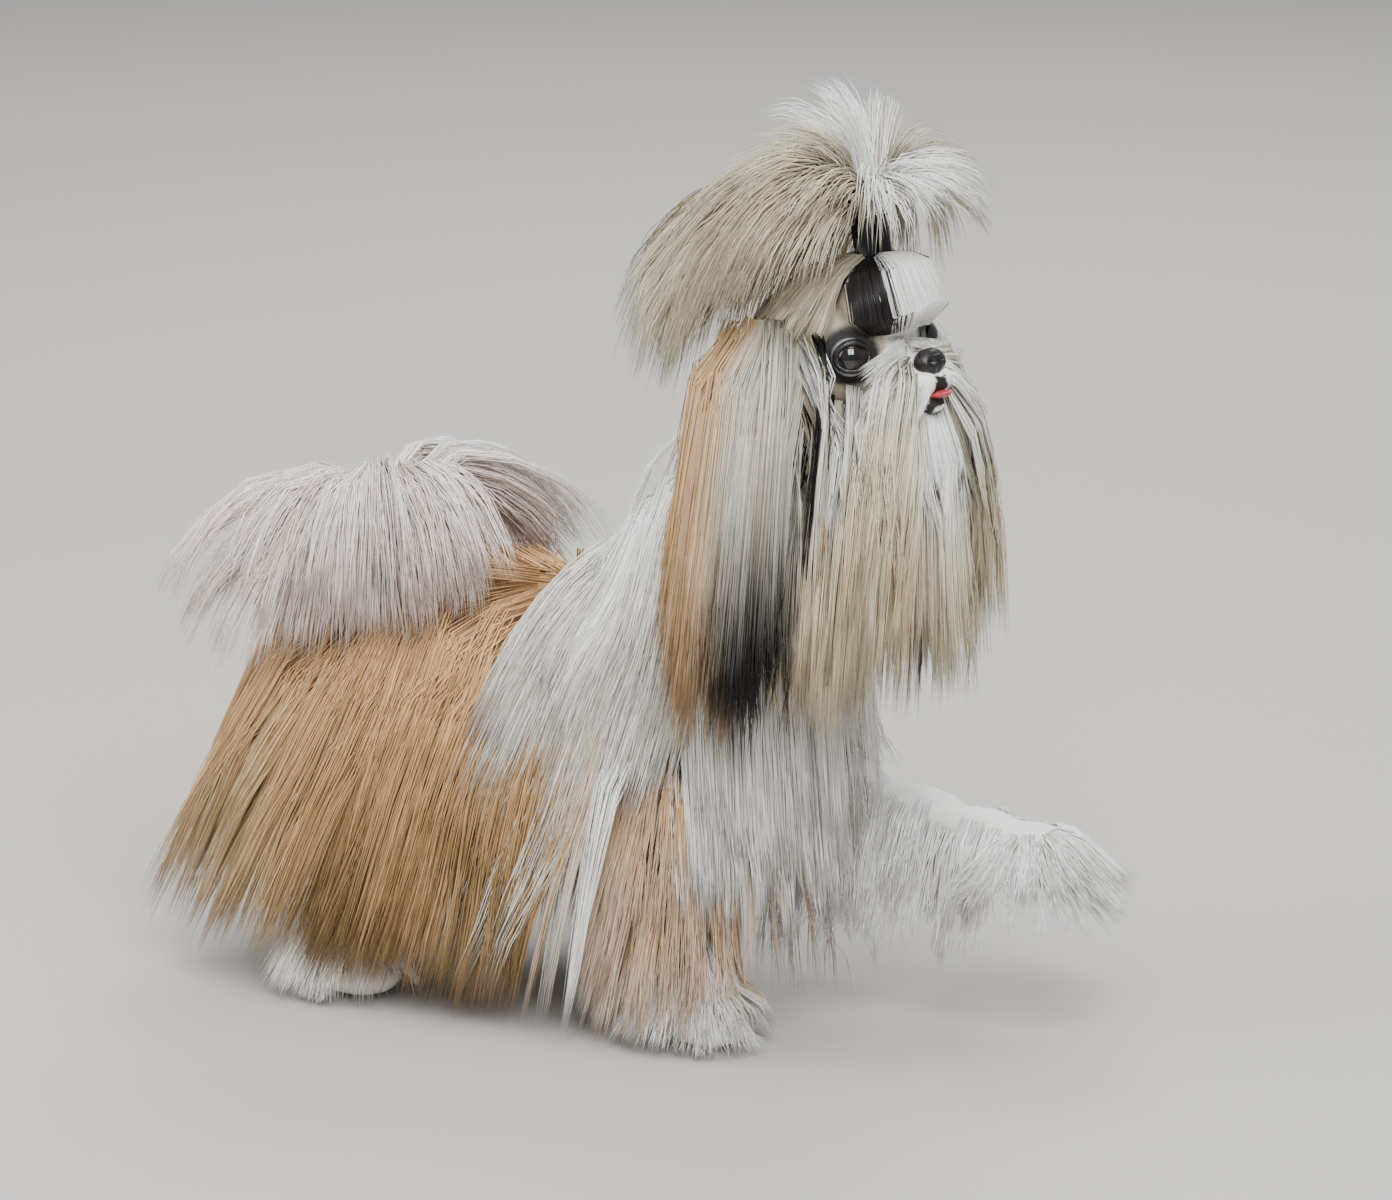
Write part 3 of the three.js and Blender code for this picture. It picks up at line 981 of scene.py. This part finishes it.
def lifted_coat(count):
    """White feather of the lifted leg, and its fluffy paw."""
    along = DRAW.random(count)
    side = np.where(DRAW.random(count) < 0.5, -1.0, 1.0)
    x = mix(14.0, 148.0, along)
    start = vectors(x, 49.0, mix(136.0, 108.0, along))
    up = DRAW.random(count) * 2 - 0.9
    roots = surface(start, vectors(0, side, up))
    lie = unit(vectors(-0.1, side * 0.22, -1))
    length = mix(100.0, 58.0, along) * (0.8 + 0.3 * DRAW.random(count))
    guides = Guides(roots, lambda p, t: lie, 3 + 4 * ease(-0.5, 1, up), length, 22.0)
    c = colours()
    return strands(guides, 20, 5.0, 2.5, body_width() * 0.9, plain_tint(c["white"], c["white"]),
                   stray=0.8, wave=0.9)


def paw_coat(count):
    around = np.radians(DRAW.random(count) * 260 - 130)
    rise = DRAW.random(count) * 1.4 - 0.5
    away = vectors(np.cos(around) * 0.95, np.sin(around), rise)
    roots = surface(np.tile(np.array(LIFTED_PAW[0], float), (count, 1)), away)
    lie = unit(vectors(away[:, 0] * 0.95, away[:, 1] * 0.6, -0.75))
    guides = Guides(roots, lambda p, t: lie, 4.0, 44.0 * (0.75 + 0.35 * DRAW.random(count)), 40.0)
    c = colours()
    return strands(guides, 18, 3.4, 2.2, face_width(), plain_tint(c["white"], c["white"]), stray=0.5)


SPINE_UNWRAP = around_axis((-250, 0, AXIS_HEIGHT), (60, 0, AXIS_HEIGHT))
HEAD_UNWRAP = around_axis(in_head([[-120, 0, 8]])[0], in_head([[10, 0, 8]])[0])
NECK_UNWRAP = around_axis((-30, 0, 130), (60, -12, 380))
TAIL_UNWRAP = around_axis((-255, 0, 200), (-180, 0, 290))
TOPKNOT_UNWRAP = around_axis(in_head([[-31, 0, 70]])[0], in_head([[-31, 0, 96]])[0])


def leg_unwrap(x, y):
    return around_axis((x, y, 0), (x, y, 150))


def matrix_for(middle, half, head=False):
    """Placement of a unit ball as a mass, in scene metres."""
    turn = Matrix.Identity(3)
    place = Vector(middle)
    if head:
        turn = Matrix((HEAD_FORWARD, HEAD_LEFT, HEAD_UP)).transposed()
        place = NOSE + turn @ place
    size = Matrix.Diagonal(Vector(half) * MM)
    return Matrix.Translation(Vector(to_scene(place))) @ (turn @ size).to_4x4()


def ball(build, middle, half, head=False, around=24, along=16):
    made = bmesh.ops.create_uvsphere(
        build, u_segments=around, v_segments=along, radius=1.0, matrix=matrix_for(middle, half, head))
    return made["verts"]


def finish_mesh(build, name, smooth=True):
    bmesh.ops.recalc_face_normals(build, faces=build.faces[:])
    mesh = bpy.data.meshes.new(name)
    build.to_mesh(mesh)
    build.free()
    for polygon in mesh.polygons:
        polygon.use_smooth = smooth
    return mesh


class SHIHTZU_OT_skin(bpy.types.Operator):
    """One skin from nose to tail, under the coat"""
    bl_idname = "shih_tzu.skin"
    bl_label = "Skin"

    def execute(self, context):
        build = bmesh.new()
        for middle, half in flesh_masses():
            ball(build, middle, [h - 1.0 for h in half])
        for middle, half in head_masses():
            ball(build, middle, [h - 0.8 for h in half], head=True)
        ball(build, (-10, 0, -24), (8.5, 9.5, 4), head=True)
        for side in (-1, 1):
            ball(build, (-7, side * 7, -10.5), (8.5, 8, 7), head=True)
        mesh = finish_mesh(build, "skin")
        piece = add_object("skin", mesh)
        remesh = piece.modifiers.new("one_skin", "REMESH")
        remesh.mode = "VOXEL"
        remesh.voxel_size = 2.4 * MM
        smooth = piece.modifiers.new("soften", "SMOOTH")
        smooth.factor = 0.6
        smooth.iterations = 5
        depsgraph = context.evaluated_depsgraph_get()
        final = bpy.data.meshes.new_from_object(piece.evaluated_get(depsgraph))
        piece.modifiers.clear()
        piece.data = final
        final.name = "skin"
        bpy.data.meshes.remove(mesh)
        self.paint(final)
        final.materials.append(coat_skin())
        for polygon in final.polygons:
            polygon.use_smooth = True
        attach(piece, BODY)
        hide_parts("head", "neck", "torso", "tail", "ear_right", "ear_left",
                    "leg_front_right", "leg_front_left", "leg_rear_right", "leg_rear_left")
        return {"FINISHED"}

    @staticmethod
    def paint(mesh):
        """Markings on the skin, as on the coat above it, with its painted highlight along the ridge of the
        back.
        """
        c = colours()
        count = len(mesh.vertices)
        places = np.empty(count * 3, np.float32)
        mesh.vertices.foreach_get("co", places)
        points = (places.reshape(-1, 3) - SHIFT) / MM
        tint, _, _ = body_tint(points)
        front = ease(-40, -28, points[:, 0])[:, None]
        tint = mix(tint, c["white"], front)
        tail = (ease(238, 246, points[:, 2]) * ease(-170, -185, points[:, 0]))[:, None]
        tint = mix(tint, c["blush"], tail)
        local = (points - np.array(NOSE)) @ HEAD_TURN.T
        head = egg_distance(local, HEAD_MIDDLES, HEAD_HALVES) < 4
        face = np.where((np.abs(local[:, 1]) < 15)[:, None], c["white"], mix(c["grey"], c["cream"], 0.5))
        lips = (local[:, 0] > -16) & (local[:, 2] < -8) & (np.abs(local[:, 1]) < 9 - 0.2 * local[:, 2] - 6)
        face = np.where(lips[:, None], c["black"], face)
        for side in (-1, 1):
            near = np.linalg.norm(local - np.array((EYE_AT.x, side * EYE_AT.y, EYE_AT.z)), axis=1)
            face = mix(face, c["black"], ease(19, 14.5, near)[:, None])
        tint = np.where(head[:, None], face, tint)
        rgba = np.concatenate([np.clip(tint, 0, 1), np.ones((count, 1))], axis=1)
        attribute = mesh.color_attributes.new("coat_tint", "FLOAT_COLOR", "POINT")
        attribute.data.foreach_set("color", rgba.astype(np.float32).ravel())


class SHIHTZU_OT_eyes(bpy.types.Operator):
    """Eyeballs with iris and pupil, and black lids round them"""
    bl_idname = "shih_tzu.eyes"
    bl_label = "Eyes and lids"

    def execute(self, context):
        for name, side in (("right", -1), ("left", 1)):
            middle = (EYE_AT.x, side * EYE_AT.y, EYE_AT.z)
            build = bmesh.new()
            ball(build, middle, [EYE_RADIUS] * 3, head=True, around=40, along=28)
            mesh = finish_mesh(build, "eyeball_" + name)
            gaze = np.array(headwards([[0.78, side * 0.62, 0.05]])[0])
            gaze = gaze / np.linalg.norm(gaze)
            centre = to_scene(in_head([middle])[0])
            attribute = mesh.attributes.new("gaze_angle", "FLOAT", "POINT")
            for vertex in mesh.vertices:
                away = np.array(vertex.co) - centre
                away = away / np.linalg.norm(away)
                attribute.data[vertex.index].value = math.acos(float(np.clip(away @ gaze, -1, 1)))
            piece = add_object("eyeball_" + name, mesh, wet_eye())
            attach(piece, BODY)
            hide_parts("eye_" + name)
            self.lids(name, side, middle, gaze)
        return {"FINISHED"}

    @staticmethod
    def lids(name, side, middle, gaze):
        """Rim of the lids: a rounded ring set round the front of the ball, almond shaped."""
        build = bmesh.new()
        centre = in_head([middle])[0]
        along = Vector(gaze)
        across = Vector(headwards([[-0.62, side * 0.78, -0.06]])[0]).normalized()
        upright = across.cross(along).normalized()
        rings = 36
        sides = 8
        loops = []
        for i in range(rings):
            angle = 2 * math.pi * i / rings
            wide, high = EYE_RADIUS * 0.86, EYE_RADIUS * 0.66
            flat = across * (math.cos(angle) * wide) + upright * (math.sin(angle) * high)
            depth = math.sqrt(max((EYE_RADIUS + 0.4) ** 2 - flat.length ** 2, 0))
            spot = Vector(centre) + flat + along * depth
            radial = (spot - Vector(centre)).normalized()
            thick = 1.5 + 0.5 * max(0, math.sin(angle))
            outward = (flat.normalized() - radial * flat.normalized().dot(radial)).normalized()
            loop = []
            for k in range(sides):
                turn = 2 * math.pi * k / sides
                aside = outward * (math.cos(turn) * thick + thick * 0.7)
                proud = radial * math.sin(turn) * thick * 0.7
                loop.append(build.verts.new(Vector(to_scene(spot + aside + proud))))
            loops.append(loop)
        for i in range(rings):
            first, second = loops[i], loops[(i + 1) % rings]
            for k in range(sides):
                n = (k + 1) % sides
                build.faces.new((first[k], first[n], second[n], second[k]))
        piece = add_object("lids_" + name, finish_mesh(build, "lids_" + name), bare_skin())
        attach(piece, BODY)


class SHIHTZU_OT_nose(bpy.types.Operator):
    """Nose leather with nostrils, and the tip of the tongue"""
    bl_idname = "shih_tzu.nose"
    bl_label = "Nose and tongue"

    def execute(self, context):
        build = bmesh.new()
        ball(build, (-6, 0, 0), (7, 10.5, 8), head=True, around=56, along=40)
        for vertex in build.verts:
            point = (np.array(vertex.co) - SHIFT) / MM
            local = (point - np.array(NOSE)) @ HEAD_TURN.T
            crease = math.exp(-(local[1] / 0.9) ** 2) * (local[0] > -5) * (local[2] < 3)
            local[0] -= crease * 1.1
            for side in (-1, 1):
                from_hole = local - np.array((0, side * 4.6, 0.3))
                hole = np.linalg.norm(from_hole / np.array((1.4, 1.15, 0.85)))
                wing = np.linalg.norm((local - np.array((-1, side * 7.5, -0.5))) / np.array((1.2, 1, 1.6)))
                local[0] -= 3.4 * math.exp(-(hole / 1.7) ** 2)
                local[0] += 0.9 * math.exp(-(wing / 2.4) ** 2)
            local[2] -= 0.6 * math.exp(-(local[1] / 5) ** 2) * (local[2] > 4)
            vertex.co = Vector(to_scene(in_head([local])[0]))
        piece = add_object("nose_leather", finish_mesh(build, "nose_leather"), bare_skin())
        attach(piece, BODY)
        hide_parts("nose")
        build = bmesh.new()
        ball(build, (-3.5, 0, -17.6), (9, 6, 1.9), head=True, around=32, along=20)
        for vertex in build.verts:
            point = (np.array(vertex.co) - SHIFT) / MM
            local = (point - np.array(NOSE)) @ HEAD_TURN.T
            local[2] -= 0.7 * math.exp(-(local[1] / 1.3) ** 2) - 0.04 * max(local[0], 0) ** 2
            vertex.co = Vector(to_scene(in_head([local])[0]))
        piece = add_object("tongue_tip", finish_mesh(build, "tongue_tip"), moist_tongue())
        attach(piece, BODY)
        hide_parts("tongue")
        return {"FINISHED"}


class SHIHTZU_OT_wrap(bpy.types.Operator):
    """Topknot wrap: two black rolls side by side with pale rims"""
    bl_idname = "shih_tzu.wrap"
    bl_label = "Topknot wrap"

    def execute(self, context):
        turn = Matrix((HEAD_FORWARD, HEAD_LEFT, HEAD_UP)).transposed()
        for name, side in (("right", -1), ("left", 1)):
            parts = []
            for low, high, radius, material in (
                    (0.3, WRAP_LENGTH, WRAP_RADIUS * 0.97, wrap_finish()),
                    (0.1, 1.4, WRAP_RADIUS, rim_finish()),
                    (WRAP_LENGTH - 1.2, WRAP_LENGTH + 0.1, WRAP_RADIUS, rim_finish())):
                local = Vector((WRAP_AT.x, side * (WRAP_RADIUS + 0.3), WRAP_AT.z + (low + high) / 2))
                place = Vector(to_scene(NOSE + turn @ local))
                build = bmesh.new()
                bmesh.ops.create_cone(
                    build, cap_ends=True, segments=40, radius1=radius * MM, radius2=radius * MM,
                    depth=(high - low) * MM, matrix=Matrix.Translation(place) @ turn.to_4x4())
                rim = [edge for edge in build.edges if len(edge.link_faces) == 2
                       and any(len(face.verts) > 4 for face in edge.link_faces)]
                bmesh.ops.bevel(build, geom=rim, offset=0.35 * MM, offset_type="OFFSET", segments=3,
                                profile=0.5, affect="EDGES", material=-1)
                parts.append((finish_mesh(build, "wrap_part", smooth=True), material))
            for index, (mesh, material) in enumerate(parts):
                label = f"wrap_{name}_{('roll', 'foot_rim', 'top_rim')[index]}"
                piece = add_object(label, mesh, material)
                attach(piece, BODY)
                if index == 0:
                    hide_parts("topknot_wrap_" + name)
        return {"FINISHED"}


class SHIHTZU_OT_pads(bpy.types.Operator):
    """Black pads under the lifted forepaw"""
    bl_idname = "shih_tzu.pads"
    bl_label = "Paw pads"

    def execute(self, context):
        build = bmesh.new()
        ball(build, (146, 36, 90), (9, 7, 6))
        for x, y, z in ((160, 32, 97), (165, 34, 91), (170, 41, 89), (168, 50, 88)):
            ball(build, (x, y, z), (6, 4.2, 4))
        piece = add_object("paw_pads", finish_mesh(build, "paw_pads"), bare_skin())
        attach(piece, BODY)
        return {"FINISHED"}


class SHIHTZU_OT_body_coat(bpy.types.Operator):
    """Coat of the flanks and the breeches"""
    bl_idname = "shih_tzu.body_coat"
    bl_label = "Body coat"

    def execute(self, context):
        coat_piece("coat_flank_right", [side_coat(-1, scaled(210))], SPINE_UNWRAP)
        coat_piece("coat_flank_left", [side_coat(1, scaled(210))], SPINE_UNWRAP)
        coat_piece("coat_breeches", [rump_coat(scaled(130))], SPINE_UNWRAP)
        return {"FINISHED"}


class SHIHTZU_OT_neck_coat(bpy.types.Operator):
    """White cape over the shoulders and bib down the chest"""
    bl_idname = "shih_tzu.neck_coat"
    bl_label = "Cape and bib"

    def execute(self, context):
        coat_piece("coat_cape", [cape_coat(scaled(200))], NECK_UNWRAP)
        coat_piece("coat_bib", [bib_coat(scaled(180))], NECK_UNWRAP)
        return {"FINISHED"}


class SHIHTZU_OT_head_coat(bpy.types.Operator):
    """Moustache, beard, cheeks, forehead and ears"""
    bl_idname = "shih_tzu.head_coat"
    bl_label = "Head coat"

    def execute(self, context):
        beard = clear_of_face(beard_coat(scaled(290)))
        chin = clear_of_face(chin_coat(scaled(40)))
        coat_piece("coat_beard", [beard, chin], HEAD_UNWRAP)
        coat_piece("coat_cheeks", [clear_of_face(cheek_coat(scaled(180)))], HEAD_UNWRAP)
        forehead = clear_of_face(forehead_coat(scaled(190)))
        temples = clear_of_face(temple_coat(scaled(150)))
        coat_piece("coat_forehead", [forehead, temples], HEAD_UNWRAP)
        coat_piece("coat_bridge", [clear_of_face(bridge_coat(scaled(170)))], HEAD_UNWRAP)
        coat_piece("coat_ear_right", [ear_coat(-1.0, scaled(130))], HEAD_UNWRAP)
        coat_piece("coat_ear_left", [ear_coat(1.0, scaled(130))], HEAD_UNWRAP)
        return {"FINISHED"}


class SHIHTZU_OT_topknot(bpy.types.Operator):
    """Plume of hair above the wrap"""
    bl_idname = "shih_tzu.topknot"
    bl_label = "Topknot plume"

    def execute(self, context):
        piece = coat_piece("coat_topknot", [topknot_coat(scaled(260))], TOPKNOT_UNWRAP)
        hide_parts("topknot")
        return {"FINISHED"}


class SHIHTZU_OT_tail_coat(bpy.types.Operator):
    """Plume of the tail"""
    bl_idname = "shih_tzu.tail_coat"
    bl_label = "Tail plume"

    def execute(self, context):
        coat_piece("coat_tail", [tail_coat(scaled(190))], TAIL_UNWRAP)
        return {"FINISHED"}


class SHIHTZU_OT_leg_coat(bpy.types.Operator):
    """Feather of the legs and fluff of the feet"""
    bl_idname = "shih_tzu.leg_coat"
    bl_label = "Leg coats"

    def execute(self, context):
        foreleg = near_foot(leg_coat("front_right", scaled(230)), 0)
        coat_piece("coat_foreleg_right", [foreleg], leg_unwrap(0, -HALF_TRACK))
        for name, leg, x, y in (
                ("coat_hind_right", "rear_right", -212, -HALF_TRACK),
                ("coat_hind_left", "rear_left", -252, HALF_TRACK)):
            coat_piece(name, [leg_coat(leg, scaled(90))], leg_unwrap(x, y))
        feather = clear_of_pads(lifted_coat(scaled(130)))
        coat_piece("coat_foreleg_left", [feather, clear_of_pads(paw_coat(scaled(130)))],
                   around_axis((0, 50, 130), (190, 50, 100)))
        return {"FINISHED"}


# Stage: the view of the photograph
VIEW_AZIMUTH = math.radians(25)
VIEW_ELEVATION = math.radians(15)
VIEW_DISTANCE = 4.0
LENS = 188.0
SENSOR = 36.0
FRAME_WIDTH, FRAME_HEIGHT = 1392, 1200
MM_PER_PIXEL = 0.55
FOOT_PIXEL = (690, 1045)
BODY_MIDDLE = Vector((0, 0, 0.22))


class SHIHTZU_OT_stage(bpy.types.Operator):
    """Pale floor, soft studio light and the camera of the photograph"""
    bl_idname = "shih_tzu.stage"
    bl_label = "Stage"

    def execute(self, context):
        self.camera(context)
        self.floor()
        self.lights(context)
        return {"FINISHED"}

    @staticmethod
    def camera(context):
        right = Vector((math.cos(VIEW_AZIMUTH), math.sin(VIEW_AZIMUTH), 0))
        back = Vector((math.sin(VIEW_AZIMUTH) * math.cos(VIEW_ELEVATION),
                       -math.cos(VIEW_AZIMUTH) * math.cos(VIEW_ELEVATION), math.sin(VIEW_ELEVATION)))
        up = back.cross(right)
        across = (FRAME_WIDTH / 2 - FOOT_PIXEL[0]) * MM_PER_PIXEL * MM
        above = (FOOT_PIXEL[1] - FRAME_HEIGHT / 2) * MM_PER_PIXEL * MM
        foot = Vector(to_scene((0, -HALF_TRACK - 3, 0)))
        aim = foot + right * across + up * above
        camera = bpy.data.objects.new("camera", bpy.data.cameras.new("camera"))
        turn = Matrix((right, up, back)).transposed().to_4x4()
        camera.matrix_world = Matrix.Translation(aim + back * VIEW_DISTANCE) @ turn
        camera.data.lens = LENS
        camera.data.sensor_width = SENSOR
        camera.data.clip_end = 50
        context.scene.collection.objects.link(camera)
        context.scene.camera = camera

    @staticmethod
    def floor():
        build = bmesh.new()
        bmesh.ops.create_grid(build, x_segments=8, y_segments=8, size=6.0)
        floor = add_object("floor", finish_mesh(build, "floor"), studio_floor())

    @staticmethod
    def lights(context):
        for name, place, size, power in (
                ("key", (1.2, -1.8, 2.4), 1.6, 118), ("fill", (-2.2, -1.6, 1.4), 2.2, 58),
                ("rim", (-0.6, 2.2, 2.2), 1.6, 52), ("overhead", (0.1, 0.0, 2.8), 2.0, 38)):
            light = bpy.data.objects.new(name, bpy.data.lights.new(name, "AREA"))
            light.data.size = size
            light.data.energy = power
            light.location = place
            light.rotation_euler = (BODY_MIDDLE - Vector(place)).to_track_quat("-Z", "Y").to_euler()
            context.scene.collection.objects.link(light)
        world = bpy.data.worlds.new("studio")
        world.use_nodes = True
        world.node_tree.nodes["Background"].inputs["Color"].default_value = (*linear("#D9DADC"), 1)
        world.node_tree.nodes["Background"].inputs["Strength"].default_value = 0.55
        context.scene.world = world


def studio_floor():
    """Matt painted studio floor, with a faint mottle from wear."""
    material, tree, shader = new_material("matt_studio_floor")
    if tree is None:
        return material
    # Faint clouds about 200 mm across
    mottle = texture(tree, "Noise", in_Scale=5.0, in_Detail=4.0)
    rough = spread_over(tree, mottle.outputs["Fac"], 0.7, 0.85)
    tree.links.new(rough.outputs["Result"], shader.inputs["Roughness"])
    shader.inputs["Base Color"].default_value = (*linear("#BDBAB6"), 1)
    return material


STEPS = (
    "stage", "skin", "eyes", "nose", "wrap", "pads", "body_coat", "neck_coat",
    "head_coat", "topknot", "tail_coat", "leg_coat",
)


class SHIHTZU_PT_panel(bpy.types.Panel):
    """Lists the pieces of the dog and its settings"""
    bl_label = "Shih Tzu"
    bl_idname = "SHIHTZU_PT_panel"
    bl_space_type = "VIEW_3D"
    bl_region_type = "UI"
    bl_category = "Shih Tzu"

    def draw(self, context):
        for step in STEPS:
            self.layout.operator("shih_tzu." + step)
        scene = context.scene
        for group in (scene.shih_tzu_sizes, scene.shih_tzu_colours, scene.shih_tzu_bare):
            for name in type(group).__annotations__:
                self.layout.prop(group, name)


CLASSES = (
    CoatColours, BareColours, CoatSizes, SHIHTZU_OT_stage, SHIHTZU_OT_skin, SHIHTZU_OT_eyes,
    SHIHTZU_OT_nose, SHIHTZU_OT_wrap, SHIHTZU_OT_pads, SHIHTZU_OT_body_coat, SHIHTZU_OT_neck_coat,
    SHIHTZU_OT_head_coat, SHIHTZU_OT_topknot, SHIHTZU_OT_tail_coat, SHIHTZU_OT_leg_coat, SHIHTZU_PT_panel,
)


def register():
    for cls in CLASSES:
        bpy.utils.register_class(cls)
    bpy.types.Scene.shih_tzu_colours = bpy.props.PointerProperty(type=CoatColours)
    bpy.types.Scene.shih_tzu_bare = bpy.props.PointerProperty(type=BareColours)
    bpy.types.Scene.shih_tzu_sizes = bpy.props.PointerProperty(type=CoatSizes)


def unregister():
    del bpy.types.Scene.shih_tzu_sizes
    del bpy.types.Scene.shih_tzu_bare
    del bpy.types.Scene.shih_tzu_colours
    for cls in reversed(CLASSES):
        bpy.utils.unregister_class(cls)


def main():
    register()
    for step in STEPS:
        getattr(bpy.ops.shih_tzu, step)()


if __name__ == "__main__":
    main()
